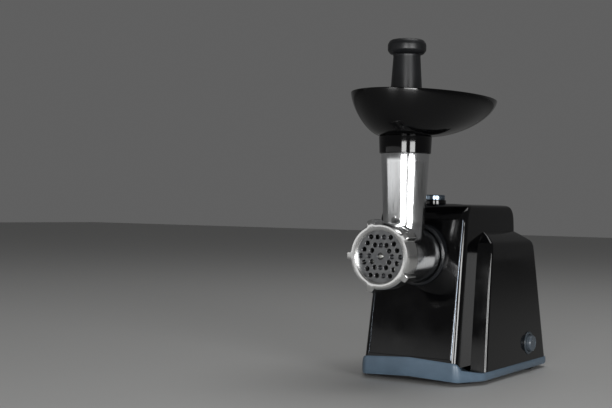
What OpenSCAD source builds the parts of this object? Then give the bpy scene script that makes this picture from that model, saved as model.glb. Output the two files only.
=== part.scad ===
// Electric meat grinder with a size 5 mincing head.
// Millimetres. X is across the machine, Y runs from the ring (front, minus) to the back, Z is up.
// Z = 0 is the counter, X = 0 is the machine's middle plane.

/* [Head] */
// Height of the auger's axis above the counter
head_z = 120.3; // [119:0.1:121]
// Front face of the screwed ring
ring_front = -122; // [-124:0.5:-121]
// Outer radius of the barrel
barrel_r = 26; // [25.5:0.1:26.2]
// Radius of the hole plate
plate_r = 26.75; // [26.5:0.05:26.8]
// Radius of the plate's small holes
plate_hole_r = 2.15; // [1.5:0.05:2.5]
// Free opening of the ring
mouth_r = 23.9; // [22:0.1:25]
// Reach of the ring's grips from the axis
grip_r = 34.3; // [32:0.1:36]
// Width of each grip
grip_width = 7.2; // [6:0.1:12]
// Distance from the machine's origin forward to the feed tube's axis
tube_y = -74.4; // [-76:0.1:-73]
// Outer radius of the feed tube under the tray
tube_r = 22.5; // [22.4:0.1:23]

/* [Tray and pusher] */
// Half the length of the tray
tray_half_length = 102.7; // [95:0.1:104]
// Half the width of the tray
tray_half_width = 59.2; // [50:0.1:62]
// Middle of the tray's rim along the machine
tray_mid_y = -32.6; // [-36:0.1:-30]
// Height of the tray's rim
tray_rim_z = 271; // [262:0.1:274]
// Wall of the tray
tray_wall = 2.4; // [2:0.1:3]
// Top of the pusher's knob
pusher_top = 320.9; // [315:0.1:325]
// Radius of the pusher's knob
knob_r = 17.9; // [16:0.1:20]

/* [Housing] */
// Half width of the upright housing at its foot
core_half = 49; // [48.5:0.1:49.5]
// Height of the upright housing
core_top = 169.2; // [168.8:0.1:170]
// Front of the panel at its lower edge
fascia_foot_y = -60; // [-60.2:0.1:-59.6]
// Height of the panel's lower edge
fascia_foot_z = 21.5; // [21:0.1:22]
// Backward lean of the front panel, degrees
lean = 9.5; // [9.2:0.1:9.8]
// Half width of the front panel
fascia_half = 42.6; // [41:0.1:43]
// Half width of the rear cover at its foot
shell_half = 64; // [63:0.1:64.4]
// Back of the rear cover at its foot
shell_back = 134; // [133:0.5:134.5]
// Half width of the skirt round the foot
plinth_half = 65.2; // [65:0.1:66]
// Front of the skirt
plinth_front = -61; // [-62:0.1:-60.8]
// Back of the skirt
plinth_back = 135; // [134.8:0.1:136]

/* [Buttons] */
// Travel of the release button on top
release_travel = 3; // [2:0.1:3]
// Reach of the power button from the middle plane
power_reach = 69.2; // [68:0.1:70]

/* [Gears] */
// Backlash between gear teeth
backlash = 0.16; // [0.12:0.01:0.25]

/* [Hidden] */
$fn = 48;
EPS = 0.02;

// Head, measured back from the ring's front face
lip = 3;
plate_front = ring_front + lip;
plate_thick = 5;
seat_y = plate_front + plate_thick;
mouth_y = seat_y - 2.5;
ring_back = ring_front + 18.5;
knife_thick = 7;
chamber_back = seat_y + knife_thick + 0.5;
thread_r = 28.6;
ring_bore_r = thread_r + 0.3;
auger_bore_r = 21.3;
auger_r = 19.8;
flight_back = -41;
barrel_end = -29;
ear_front = -33.3;
ear_r = 28.3;
ear_half = 7;
stud_r = 3;
tube_mouth_z = 229.8;

// Tray
tray_floor_z = 231;
tray_foot_r = 24;
tray_curve = 1.57;
tray_steps = 12;
tray_sides = 64;
throat_r = 19.4;

// Housing
slope = tan(lean);
wall = 2.8;
socket_front = -49;
socket_back = -23;
socket_bore_r = barrel_r + 0.4;
socket_r = 30;
feet_front = [41, -27];
feet_rear = [52, 100];
foot_h = 4.5;
release_y = -11;
bolt_y = -31;
rocker_y = -22.11;
rocker_z = 153.6;
rocker_half = 1.3;
bolt_head_z = rocker_z + 1.9;
cap_z = 169.5 + release_travel;
power_y = 81.6;
power_z = 29.3;
gland_x = -35;
gland_z = 25;

// Gear train: axes seen along Y, each pair at its own centre distance
fine_m = 1;
coarse_m = 1.25;
output_teeth = 60;
small_two_teeth = 12;
large_two_teeth = 56;
small_one_teeth = 14;
large_one_teeth = 48;
pinion_teeth = 12;
pressure = 25;
out_dist = coarse_m * (output_teeth + small_two_teeth) / 2;
two_dist = fine_m * (large_two_teeth + small_one_teeth) / 2;
one_dist = fine_m * (large_one_teeth + pinion_teeth) / 2;
two_x = 13;
two_z = head_z - sqrt(out_dist * out_dist - two_x * two_x);
one_x = -18;
one_z = two_z - sqrt(two_dist * two_dist - (two_x - one_x) * (two_x - one_x));
motor_z = one_z - sqrt(one_dist * one_dist - one_x * one_x);
box_front = -4;
box_joint = 14;
box_back = 30;
box_wall = 3;
first_gear_y = 1;
second_gear_y = 13;
third_gear_y = 21;
shaft_r = 3;

// Motor, along Y
stack_front = 57;
stack_back = 85;
stator_r = 25.5;
rotor_r = 16.1;
commutator_y = 90;
rear_bracket_y = 103;

// A cylinder along Y
module rod(r, y0, y1, x = 0, z = head_z, r2 = -1) {
  translate([x, y0, z])
    rotate([-90, 0, 0])
      cylinder(h = y1 - y0, r1 = r, r2 = r2 < 0 ? r : r2);
}

// A hollow cylinder along Y
module sleeve(r_out, r_in, y0, y1, x = 0, z = head_z) {
  difference() {
    rod(r_out, y0, y1, x, z);
    rod(r_in, y0 - 1, y1 + 1, x, z);
  }
}

// A flat shape drawn in X and Z, given a thickness from y0 back to y1
module along_y(y0, y1, x = 0, z = head_z) {
  translate([x, y1, z])
    rotate([90, 0, 0])
      linear_extrude(height = y1 - y0)
        children();
}

// Both sides of the machine
module both_sides() {
  children();
  mirror([1, 0, 0])
    children();
}

// ---------------------------------------------------------------- pusher and tray

module pusher() {
  shoulder_z = tray_floor_z + tray_wall + 0.7;
  color("dimgray")
    translate([0, tube_y, 0]) {
      rotate_extrude()
        polygon([
          [0, 162], [16.2, 162], [17, 163], [17.4, shoulder_z], [22, shoulder_z],
          [22, shoulder_z + 2.6], [17.1, shoulder_z + 3.6], [14.35, 278], [12.6, pusher_top - 15.9],
          [12.6, pusher_top - 13.6], [14.6, pusher_top - 12.6], [16.6, pusher_top - 10.8],
          [knob_r, pusher_top - 7.6], [knob_r, pusher_top - 5.6], [17, pusher_top - 3],
          [15, pusher_top - 1.1], [12, pusher_top - 0.2], [10, pusher_top], [0, pusher_top]
        ]);
    }
}

// How far the bowl has opened at a share t of its height
function bowl_open(t) = pow(1 - pow(1 - t, tray_curve), 1 / tray_curve);

// One ring of points on the bowl, drawn in by a wall
function bowl_ring(t, inset, z) = let (s = bowl_open(t)) [
  for (i = [0 : tray_sides - 1]) let (a = 360 * i / tray_sides) [
    (tray_foot_r + (tray_half_width - tray_foot_r) * s - inset) * cos(a),
    tube_y + (tray_mid_y - tube_y) * s
      + (tray_foot_r + (tray_half_length - tray_foot_r) * s - inset) * sin(a),
    z
  ]
];

module bowl() {
  rise = tray_rim_z - tray_floor_z;
  outside = [for (k = [0 : tray_steps]) let (t = pow(k / tray_steps, 1.6)) [t, 0, tray_floor_z + rise * t]];
  inside = [
    for (k = [tray_steps : -1 : 0])
      let (t = pow(k / tray_steps, 1.6))
        [t, tray_wall * (k == tray_steps ? 0.9 : 1.35), tray_floor_z + tray_wall + (rise - tray_wall) * t]
  ];
  throat = [[0, tray_foot_r - throat_r, tray_floor_z + tray_wall], [0, tray_foot_r - throat_r, tray_floor_z]];
  rings = concat(outside, inside, throat);
  count = len(rings);
  points = [for (q = rings) for (p = bowl_ring(q[0], q[1], q[2])) p];
  faces = [
    for (k = [0 : count - 1]) for (i = [0 : tray_sides - 1])
      let (j = (i + 1) % tray_sides, n = (k + 1) % count)
        for (f = [
          [k * tray_sides + i, n * tray_sides + i, n * tray_sides + j],
          [k * tray_sides + i, n * tray_sides + j, k * tray_sides + j]
        ]) f
  ];
  polyhedron(points, faces, convexity = 6);
}

module tray() {
  color("black") {
    bowl();
    translate([0, tube_y, 0])
      rotate_extrude()
        polygon([[22.7, 214.8], [24, 214.8], [24.65, 230.4], [24.65, 232], [22.7, 232]]);
  }
}

// ---------------------------------------------------------------- mincing head

// Two ears at the back of the barrel and two gaps that let them in
module ears(r_out, r_in, half, y0, y1, turn) {
  translate([0, 0, head_z])
    rotate([0, turn, 0])
      translate([0, 0, -head_z])
        intersection() {
          sleeve(r_out, r_in, y0, y1);
          translate([-half, y0, head_z - r_out])
            cube([2 * half, y1 - y0, 2 * r_out]);
        }
}

module head_casting() {
  rib_h = 0.9;
  color("lightgray")
    difference() {
      union() {
        rod(barrel_r, ring_back - 3, barrel_end);
        translate([0, 0, head_z])
          rotate([-90, 0, 0])
            rotate_extrude()
              polygon([
                [18, mouth_y], [thread_r - 0.9, mouth_y], [thread_r, mouth_y + 1],
                [thread_r, mouth_y + 2], [thread_r - 1, mouth_y + 3], [thread_r, mouth_y + 4],
                [thread_r, mouth_y + 5], [thread_r - 1, mouth_y + 6], [thread_r, mouth_y + 7],
                [thread_r, mouth_y + 8], [thread_r - 1, mouth_y + 9], [thread_r, mouth_y + 10],
                [thread_r, mouth_y + 11], [barrel_r - 0.5, mouth_y + 13.5], [18, mouth_y + 13.5]
              ]);
        ears(ear_r, barrel_r - 1, ear_half, ear_front, barrel_end, 0);
        translate([0, tube_y, 0])
          rotate_extrude()
            polygon([
              [0, head_z], [18.8, head_z], [18.8, head_z + 15.7], [19.5, 152.3],
              [tube_r, 213.9], [22.3, 214.4], [22.3, tube_mouth_z], [0, tube_mouth_z]
            ]);
      }
      // Seat for the plate, room for the knife, bore for the auger, bearing at the back
      rod(plate_r + 0.2, mouth_y - 1, seat_y);
      rod(24.5, seat_y - 1, chamber_back);
      rod(auger_bore_r, chamber_back - 1, flight_back + 2);
      rod(9.05, flight_back, barrel_end + 1);
      translate([0, tube_y, head_z])
        cylinder(h = tube_mouth_z - head_z + 1, r1 = 16.8, r2 = 19.3);
      // Notch in the upper ear for the locking bolt
      translate([-2.6, ear_front - 1, head_z + barrel_r - 0.3])
        cube([5.2, barrel_end - ear_front + 2, 5]);
    }
  // Straight ribs in the bore and the key that stops the plate turning
  color("lightgray") {
    for (a = [20, 70, 110, 160, 200, 250, 290, 340])
      translate([0, 0, head_z])
        rotate([0, a, 0])
          translate([-1.2, chamber_back + 1, auger_bore_r - rib_h])
            cube([2.4, flight_back - 2 - chamber_back, rib_h + 1]);
    translate([-1.3, mouth_y + 0.3, head_z - plate_r - 1])
      cube([2.6, seat_y - mouth_y, 2.4]);
  }
}

// Outline of the ring with its five grips
module ring_outline() {
  intersection() {
    circle(r = grip_r);
    union() {
      circle(r = 30.4);
      for (k = [0 : 4])
        rotate(180 + 72 * k)
          translate([ring_bore_r, -grip_width / 2])
            square([20, grip_width]);
    }
  }
}

module ring_nut() {
  color("silver")
    difference() {
      along_y(ring_front, ring_back)
        ring_outline();
      rod(mouth_r, ring_front - 1, ring_front + 5);
      rod(ring_bore_r, plate_front, ring_back + 1);
    }
}

module plate() {
  outer_row = [for (a = [0 : 60 : 300]) for (k = [0 : 2]) [a, k / 3, 20]];
  inner_row = [for (a = [0 : 60 : 300]) for (k = [0 : 1]) [a, k / 2, 11.6]];
  color("gray")
    difference() {
      rod(plate_r, plate_front, seat_y);
      rod(stud_r + 0.1, plate_front - 1, seat_y + 1);
      for (h = concat(outer_row, inner_row)) {
        x = h[2] * (cos(h[0]) * (1 - h[1]) + cos(h[0] + 60) * h[1]);
        z = h[2] * (sin(h[0]) * (1 - h[1]) + sin(h[0] + 60) * h[1]);
        rod(plate_hole_r, plate_front - 1, seat_y + 1, x, head_z + z);
      }
      translate([-1.6, mouth_y - 0.2, head_z - plate_r - 1])
        cube([3.2, seat_y - mouth_y + 2, 3]);
    }
}

module knife() {
  color("silver")
    difference() {
      union() {
        rod(8.5, seat_y + 0.1, seat_y + knife_thick);
        for (a = [0 : 90 : 270])
          translate([0, 0, head_z])
            rotate([0, a, 0])
              translate([-3.2, seat_y + 0.1, 4])
                cube([6.4, 3.2, 19]);
      }
      translate([-4.6, seat_y - 1, head_z - 4.6])
        cube([9.2, knife_thick + 2, 9.2]);
    }
}

// Section of the screw: a round core with one flight
function flight_radius(a) = 8.6 + (auger_r - 8.6) * pow(max(0, cos(a) > 0.55 ? (cos(a) - 0.55) / 0.45 : 0), 0.35);

flight_angles = concat([for (i = [-6 : 6]) 9.4 * i], [for (i = [1 : 9]) 56.4 + 24.7 * i]);

module auger() {
  flight_front = chamber_back + 0.5;
  color("lightgray")
    difference() {
      union() {
        translate([0, flight_back, head_z])
          rotate([90, 0, 0])
            linear_extrude(height = flight_back - flight_front, twist = 850, slices = 52, convexity = 6)
              polygon([for (a = flight_angles) flight_radius(a) * [cos(a), sin(a)]]);
        rod(9, flight_back - 0.5, barrel_end + 0.2);
        rod(9.4, seat_y + knife_thick, flight_front + 1);
        translate([-4.5, seat_y + 0.1, head_z - 4.5])
          cube([9, knife_thick + 1, 9]);
        // Front journal with a coned end
        rod(stud_r, plate_front + 1.8, seat_y + 1);
        translate([0, plate_front + 0.4, head_z])
          rotate([-90, 0, 0])
            cylinder(h = 1.5, r1 = 1.4, r2 = stud_r);
      }
      rod(5, barrel_end - 8, barrel_end + 1);
      translate([-10, barrel_end - 4, head_z])
        rotate([0, 90, 0])
          cylinder(h = 20, r = 1.5);
    }
}

module auger_drive() {
  color("white")
    difference() {
      union() {
        rod(5, barrel_end - 7.8, barrel_end + 0.5);
        rod(12, barrel_end + 0.3, barrel_end + 3.5);
        translate([0, barrel_end + 3, head_z])
          rotate([-90, 0, 0])
            cylinder(h = 13, r = 6.06, $fn = 6);
      }
      translate([-10, barrel_end - 4, head_z])
        rotate([0, 90, 0])
          cylinder(h = 20, r = 1.5);
    }
}

module drive_pin() {
  color("silver")
    translate([-8.6, barrel_end - 4, head_z])
      rotate([0, 90, 0])
        cylinder(h = 17.2, r = 1.5);
}

// ---------------------------------------------------------------- housing

// Four rounded corners of a level slice, to be wrapped by a hull
module slice(z, half, front, back, r_front, r_back) {
  for (s = [-1, 1]) {
    translate([s * (half - r_front), front + r_front, z])
      cylinder(h = EPS, r = r_front, $fn = 32);
    translate([s * (half - r_back), back - r_back, z])
      cylinder(h = EPS, r = r_back, $fn = 32);
  }
}

function front_at(z) = fascia_foot_y + (z - fascia_foot_z) * slope;

// Upright housing, drawn in by a wall
module core_solid(inset) {
  hull() {
    slice(17, core_half - inset, front_at(17) + inset, 90 - inset, 6.5 - inset / 2, 8);
    slice(142, core_half - 2.5 - inset, front_at(142) + inset, 86 - inset, 6.5 - inset / 2, 8);
    slice(154.5, core_half - 2.9 - inset, front_at(154.5) + inset, 84 - inset, 6.5 - inset / 2, 8);
    slice(161 - inset / 2, core_half - 3.2 - inset, -34.8 + inset, 82.5 - inset, 6.5 - inset / 2, 8);
    slice(165.6 - inset, core_half - 4.2 - inset, -30.6 + inset, 80.5 - inset, 7, 8);
    slice(core_top - 1 - inset, core_half - 7.5 - inset, -25 + inset, 76 - inset, 7, 8);
    slice(core_top - EPS - inset, core_half - 17 - inset, -16 + inset, 66 - inset, 7, 8);
  }
}

// Rear cover, drawn in by a wall
module shell_solid(inset) {
  rows = [
    [7, shell_half + 0.1, -25, shell_back + 0.7], [53, shell_half - 1.1, -19, 124.3],
    [122, shell_half - 3.2, -8, 107.5], [132.5 - inset / 2, shell_half - 3.6, -1, 105],
    [142.3 - inset, 46.6 + inset / 2, 3, 86.2 + inset / 2]
  ];
  hull()
    for (q = rows)
      for (s = [-1, 1]) {
        translate([s * (q[1] - inset - 1.5), q[2] + inset + 1.5, q[0]])
          cylinder(h = EPS, r = 1.5, $fn = 16);
        translate([s * 40, q[2] + inset - 6, q[0]])
          cylinder(h = EPS, r = 1, $fn = 16);
        translate([s * (q[1] - inset - 10), q[3] - inset - 10, q[0]])
          cylinder(h = EPS, r = 10, $fn = 32);
      }
}

// Plan of the skirt, drawn in by a wall
module plinth_plan(inset) {
  k = inset * 0.4;
  polygon([
    [-49.5 + k, plinth_front + inset], [49.5 - k, plinth_front + inset],
    [plinth_half - inset, -31 + k], [plinth_half - inset, plinth_back - 9],
    [plinth_half - 9, plinth_back - inset], [-plinth_half + 9, plinth_back - inset],
    [-plinth_half + inset, plinth_back - 9], [-plinth_half + inset, -31 + k]
  ]);
}

// Wall of the skirt: high across the front, low along the sides and the back
module plinth_wall(grow) {
  arch_r = 420;
  intersection() {
    difference() {
      translate([0, 0, 3.7 - grow])
        linear_extrude(height = 21 + grow)
          plinth_plan(-grow);
      translate([0, 0, 0])
        linear_extrude(height = 40)
          plinth_plan(2.2 + grow);
    }
    translate([-80, 0, 0])
      rotate([90, 0, 90])
        linear_extrude(height = 160)
          polygon([
            [-70, 0], [-70, 30], [-58, 23 + grow], [-28, 11.3 + grow], [140, 11.3 + grow], [140, 0]
          ]);
    translate([0, -80, 24.2 + grow - arch_r])
      rotate([-90, 0, 0])
        cylinder(h = 230, r = arch_r, $fn = 200);
  }
}

// Shelf inside the skirt's top edge that closes the corners beside the upright housing
module plinth_shelf() {
  difference() {
    intersection() {
      translate([0, 0, 3.7])
        linear_extrude(height = 21)
          plinth_plan(2.1);
      translate([-80, 0, 0])
        rotate([90, 0, 90])
          linear_extrude(height = 160)
            polygon([
              [-70, 26], [-58, 20.9], [-28, 11.2], [-24, 11.2], [-24, 9.2], [-28, 9.2], [-58, 18.9], [-70, 24]
            ]);
    }
    core_solid(-0.2);
    shell_solid(-0.2);
    translate([-43, -70, 0])
      cube([86, 60, 30]);
  }
}

module base_plinth() {
  arch_r = 480;
  color("slategray")
    difference() {
      union() {
        plinth_wall(0);
        plinth_shelf();
      }
      translate([0, plinth_front - 1, 6.2 - arch_r])
        rotate([-90, 0, 0])
          cylinder(h = 12, r = arch_r, $fn = 200);
    }
}

module fascia_block(half, depth, y0, z0, z1) {
  translate([0, fascia_foot_y, fascia_foot_z])
    rotate([-lean, 0, 0])
      translate([-half, y0, z0])
        cube([2 * half, depth, z1 - z0]);
}

// Recess for the front panel and its trim
module panel_recess() {
  fascia_block(fascia_half + 1.2, 4, -1.8, 2.7, 134.6);
}

module main_housing() {
  boss_xy = [[37.5, -42], [37.5, 47]];
  color("#111111") {
    difference() {
      core_solid(0);
      core_solid(wall);
      // Open towards the rear cover below its shoulder, and open underneath
      translate([-70, 57, 0])
        cube([140, 60, 136]);
      translate([-core_half + wall + 2, front_at(17) + wall + 3, 10])
        cube([2 * (core_half - wall - 2), 90, 12]);
      plinth_wall(0.2);
      panel_recess();
      rod(socket_r + 0.02, -70, -20);
      // Pocket that clears the locking bolt and its head
      translate([-4.5, bolt_y - 3.2, head_z + socket_r])
        cube([9, 8, 9.9]);
      // Seat and hole for the bezel of the release button
      translate([0, release_y, 160])
        cylinder(h = 20, r = 9.05);
      translate([0, release_y, 168])
        cylinder(h = 5, r = 11.45);
    }
    // Screw bosses at the foot
    for (p = boss_xy)
      both_sides()
        difference() {
          translate([p[0], p[1], 7])
            cylinder(h = 18, r = 5);
          translate([p[0], p[1], 6])
            cylinder(h = 13, r = 1.5);
        }
    for (p = boss_xy)
      both_sides()
        translate([p[0] + 3.5, p[1] - 1.5, 18])
          cube([5.5, 3, 7]);
    // Posts that carry the gear case
    for (p = screw_spots)
      difference() {
        rod(4, front_at(p[1]) + 1, box_front, p[0], p[1]);
        rod(1.5, box_front - 12, box_front + 1, p[0], p[1]);
        panel_recess();
      }
    // Lugs for the rocker's pin
    both_sides()
      difference() {
        translate([4.4, rocker_y - 3, rocker_z - 3])
          cube([2.4, 6, core_top - 2 - rocker_z + 3]);
        translate([0, rocker_y, rocker_z])
          rotate([0, 90, 0])
            cylinder(h = 20, r = 1.55);
      }
  }
}

module front_fascia() {
  color("black")
    difference() {
      fascia_block(fascia_half, 2, 0, 2.9, 134.4);
      rod(socket_r + 0.02, -70, -20);
    }
}

module fascia_trim() {
  color("silver")
    both_sides()
      translate([0, fascia_foot_y, fascia_foot_z])
        rotate([-lean, 0, 0])
          translate([fascia_half + 0.1, -0.1, 2.9])
            cube([0.9, 2.1, 131.5]);
}

module rear_shell() {
  color("#0d0d0d") {
    difference() {
      shell_solid(0);
      shell_solid(2.4);
      core_solid(-0.15);
      translate([-100, -100, 0])
        cube([200, 260, 7.2]);
      plinth_wall(0.25);
      // Holes for the power button and the cord gland
      translate([50, power_y, power_z])
        rotate([0, 90, 0])
          cylinder(h = 20, r = 9.4);
      translate([62.8, power_y, power_z])
        rotate([0, 90, 0])
          cylinder(h = 5, r = 11.6);
      rod(5.5, 110, 140, gland_x, gland_z);
      rod(8.1, 131, 140, gland_x, gland_z);
    }
    both_sides()
      difference() {
        translate([54.5, 121, 7.2])
          cylinder(h = 12, r = 8.2);
        translate([54.5, 121, 6])
          cylinder(h = 10, r = 1.5);
      }
  }
}

module bottom_cover() {
  color("#222222")
    difference() {
      union() {
        translate([0, 0, foot_h])
          linear_extrude(height = 2.5)
            plinth_plan(2.4);
        // Saddles under the motor
        for (y = [60, 76])
          translate([-14, y, 6])
            cube([28, 6, motor_z - 22.9 - 6]);
        // Standoffs under the circuit board
        for (x = [-53, -34])
          for (y = [62, 98])
            translate([x, y, 6])
              cylinder(h = 5, r = 2.5);
      }
      for (y = [38 : 5 : 98])
        for (s = [-1, 1])
          translate([s * 25 - 9, y, 0])
            cube([18, 2, 10]);
      for (p = [[37.5, -42], [37.5, 47], [54.5, 121]])
        for (s = [-1, 1]) {
          translate([s * p[0], p[1], 0])
            cylinder(h = 20, r = 1.5);
          translate([s * p[0], p[1], 0])
            cylinder(h = foot_h + 1.2, r = 3.3);
        }
      for (p = [feet_front, feet_rear])
        for (s = [-1, 1])
          translate([s * p[0], p[1], 0])
            cylinder(h = 20, r = 3);
    }
}

module feet() {
  color("#1a1a1a")
    for (p = [feet_front, feet_rear])
      for (s = [-1, 1])
        translate([s * p[0], p[1], 0]) {
          cylinder(h = foot_h, r = 8);
          cylinder(h = foot_h + 2.6, r = 3);
        }
}

module upright_screw(x, y, z0, length) {
  translate([x, y, z0])
    cylinder(h = length, r = 1.5);
  difference() {
    translate([x, y, z0])
      cylinder(h = 1.2, r = 2.9);
    translate([x, y, z0 - 1])
      cylinder(h = 1.6, r = 1.2, $fn = 6);
  }
}

module base_screws() {
  color("silver")
    for (p = [[37.5, -42], [37.5, 47]])
      for (s = [-1, 1])
        upright_screw(s * p[0], p[1], foot_h, 13);
}

module shell_screws() {
  color("silver")
    for (s = [-1, 1])
      upright_screw(s * 54.5, 121, foot_h, 11);
}

module socket_collar() {
  color("#2a2c30")
    difference() {
      rod(socket_r, socket_front, socket_back);
      rod(socket_bore_r, socket_front - 1, ear_front - 0.2);
      rod(ear_r + 0.2, ear_front - 0.2, barrel_end + 0.5);
      rod(15, barrel_end, socket_back + 1);
      ears(ear_r + 0.2, socket_bore_r - 0.5, ear_half + 0.6, socket_front - 1, ear_front, 42);
      // Hole for the locking bolt
      translate([0, bolt_y, head_z])
        cylinder(h = 40, r = 2.45);
    }
}

// ---------------------------------------------------------------- release latch and buttons

module latch_bolt() {
  color("silver")
    translate([0, bolt_y, 0]) {
      translate([0, 0, head_z + barrel_r + 0.2])
        cylinder(h = bolt_head_z + 0.5 - head_z - barrel_r, r = 2.15);
      // Head with a flat at the front
      intersection() {
        translate([0, 0, bolt_head_z])
          cylinder(h = 1.6, r = 3.6);
        translate([-5, -2.6, bolt_head_z])
          cube([10, 10, 2]);
      }
    }
}

module latch_rocker() {
  color("gainsboro")
    difference() {
      union() {
        translate([-4, rocker_y - 9.7, rocker_z - 1.2])
          cube([8, 22.6, 1.2 + rocker_half]);
        translate([-4, rocker_y, rocker_z])
          rotate([0, 90, 0])
            cylinder(h = 8, r = 3);
        translate([-7, rocker_y, rocker_z])
          rotate([0, 90, 0])
            cylinder(h = 14, r = 1.5);
      }
      // Fork round the bolt
      translate([-2.6, bolt_y - 5, rocker_z - 5])
        cube([5.2, 8.2, 10]);
    }
}

// A coil spring: rings of points swept along a helix
module coil(coil_r, wire_r, turns, height) {
  steps = 16 * turns;
  sides = 8;
  points = [
    for (k = [0 : steps]) for (i = [0 : sides - 1])
      let (a = 360 * turns * k / steps, b = 360 * i / sides, r = coil_r + wire_r * cos(b))
        [r * cos(a), r * sin(a), height * k / steps + wire_r * sin(b)]
  ];
  faces = concat(
    [[for (i = [0 : sides - 1]) i], [for (i = [sides - 1 : -1 : 0]) steps * sides + i]],
    [
      for (k = [0 : steps - 1]) for (i = [0 : sides - 1]) let (j = (i + 1) % sides)
        for (f = [
          [k * sides + i, (k + 1) * sides + i, (k + 1) * sides + j],
          [k * sides + i, (k + 1) * sides + j, k * sides + j]
        ]) f
    ]
  );
  polyhedron(points, faces, convexity = 8);
}

// Return spring of the button, as long as it is with the button pressed home
module latch_spring() {
  wire_r = 0.55;
  floor_z = 164.8;
  color("silver")
    translate([0, release_y, floor_z + 0.15 + wire_r])
      coil(5.2, wire_r, 2.5, cap_z - release_travel - floor_z - 0.4 - 2 * wire_r);
}

module release_button() {
  color("lightsteelblue")
    translate([0, release_y, 0]) {
      rotate_extrude()
        polygon([
          [0, cap_z], [10.3, cap_z], [10.3, cap_z + 4.1], [10, cap_z + 4.7], [9.4, cap_z + 4.9],
          [8.2, cap_z + 4.7], [0, cap_z + 4.4]
        ]);
      translate([0, 0, rocker_z + rocker_half + 0.6])
        cylinder(h = cap_z + 0.5 - rocker_z - rocker_half - 0.6, r = 1.6);
    }
}

module button_bezel() {
  color("#15161a")
    translate([0, release_y, 0])
      rotate_extrude()
        polygon([
          [2.3, 163], [9, 163], [9, 168], [11.4, 168], [11.4, 172.4],
          [10.7, 172.4], [10.7, 169.4], [7.6, 169.4], [7.6, 164.8], [2.3, 164.8]
        ]);
}

module along_x(x0) {
  translate([x0, power_y, power_z])
    rotate([0, 90, 0])
      children();
}

module power_button() {
  color("#3d4a5c")
    along_x(0)
      rotate_extrude()
        polygon([
          [0, 58], [8.2, 58], [8.2, power_reach - 1.2], [7.6, power_reach - 0.3],
          [6.6, power_reach], [0, power_reach]
        ]);
}

module power_bezel() {
  color("slategray")
    along_x(0)
      rotate_extrude()
        polygon([
          [8.5, 54], [9.4, 54], [9.4, 62.8], [11.5, 62.8], [11.5, 64.6], [11, 65], [8.5, 65]
        ]);
}

module power_switch() {
  color("#303030") {
    translate([40, power_y - 9, power_z - 9.5])
      cube([14, 18, 19]);
    along_x(53.5)
      cylinder(h = 1.2, r = 2);
    for (s = [-1, 1])
      translate([34, power_y + 4 * s - 0.4, power_z - 3])
        cube([7, 0.8, 6]);
  }
}

module cord_gland() {
  color("#1c1c1c") {
    difference() {
      union() {
        rod(5.5, 122, 132, gland_x, gland_z);
        rod(8, 131.2, 134.8, gland_x, gland_z);
      }
      rod(3.5, 121, 136, gland_x, gland_z);
    }
  }
}

// ---------------------------------------------------------------- gear train

function inv(a) = tan(a) * 180 / PI - a;

// Angle from a tooth's middle to its flank at radius r
function flank(m, z, r) =
  let (rb = m * z / 2 * cos(pressure), a = acos(min(1, rb / r)))
    90 / z - (backlash / 2) / (m * z / 2) * 180 / PI + inv(pressure) - inv(a);

// Involute gear outline with short teeth, one tooth centred on the angle turn
module gear_outline(m, z, turn) {
  pitch_r = m * z / 2;
  tip_r = pitch_r + 0.8 * m;
  root_r = pitch_r - 1.08 * m;
  base_r = max(root_r, pitch_r * cos(pressure));
  levels = [0, 0.3, 0.65, 1];
  polygon([
    for (k = [0 : z - 1])
      let (mid = turn + 360 * k / z)
        for (p = concat(
          [[root_r, -min(flank(m, z, base_r) + 1.2, 168 / z)]],
          [for (q = levels) let (r = base_r + (tip_r - base_r) * q) [r, -flank(m, z, r)]],
          [for (q = [3 : -1 : 0]) let (r = base_r + (tip_r - base_r) * levels[q]) [r, flank(m, z, r)]],
          [[root_r, min(flank(m, z, base_r) + 1.2, 168 / z)]]
        ))
          p[0] * [cos(mid + p[1]), sin(mid + p[1])]
  ]);
}

// Directions between the axes, from X towards Z
dir_two = atan2(two_z - head_z, two_x);
dir_one = atan2(one_z - two_z, one_x - two_x);
dir_motor = atan2(motor_z - one_z, -one_x);

module output_gear() {
  color("beige")
    difference() {
      union() {
        along_y(first_gear_y, first_gear_y + 10)
          gear_outline(coarse_m, output_teeth, dir_two);
        rod(10, socket_back, first_gear_y + 1);
        rod(6, first_gear_y + 9, box_back - 0.4);
      }
      translate([0, socket_back - 1, head_z])
        rotate([-90, 0, 0])
          cylinder(h = 13, r = 6.3, $fn = 6);
      difference() {
        rod(33, first_gear_y + 7, first_gear_y + 11);
        rod(13, first_gear_y + 6, first_gear_y + 12);
      }
      for (a = [0 : 60 : 300])
        rod(6, first_gear_y - 1, first_gear_y + 12, 23 * cos(a), head_z + 23 * sin(a));
    }
}

module output_bush() {
  color("peru")
    sleeve(13, 10.05, socket_back + 2, -5);
}

module gear_two() {
  color("beige")
    difference() {
      union() {
        along_y(first_gear_y, second_gear_y + 1, two_x, two_z)
          gear_outline(coarse_m, small_two_teeth, dir_two + 180 + 180 / small_two_teeth);
        along_y(second_gear_y, second_gear_y + 6, two_x, two_z)
          gear_outline(fine_m, large_two_teeth, dir_one);
        rod(6, second_gear_y + 5, box_back - box_wall - 0.3, two_x, two_z);
      }
      rod(shaft_r + 0.05, 0, box_back, two_x, two_z);
    }
}

module gear_one() {
  color("beige")
    difference() {
      union() {
        rod(5.4, -0.6, second_gear_y + 1, one_x, one_z);
        along_y(second_gear_y, third_gear_y + 1, one_x, one_z)
          gear_outline(fine_m, small_one_teeth, dir_one + 180 + 180 / small_one_teeth);
        along_y(third_gear_y, third_gear_y + 5, one_x, one_z)
          gear_outline(fine_m, large_one_teeth, dir_motor);
      }
      rod(shaft_r + 0.05, -2, box_back, one_x, one_z);
    }
}

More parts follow.
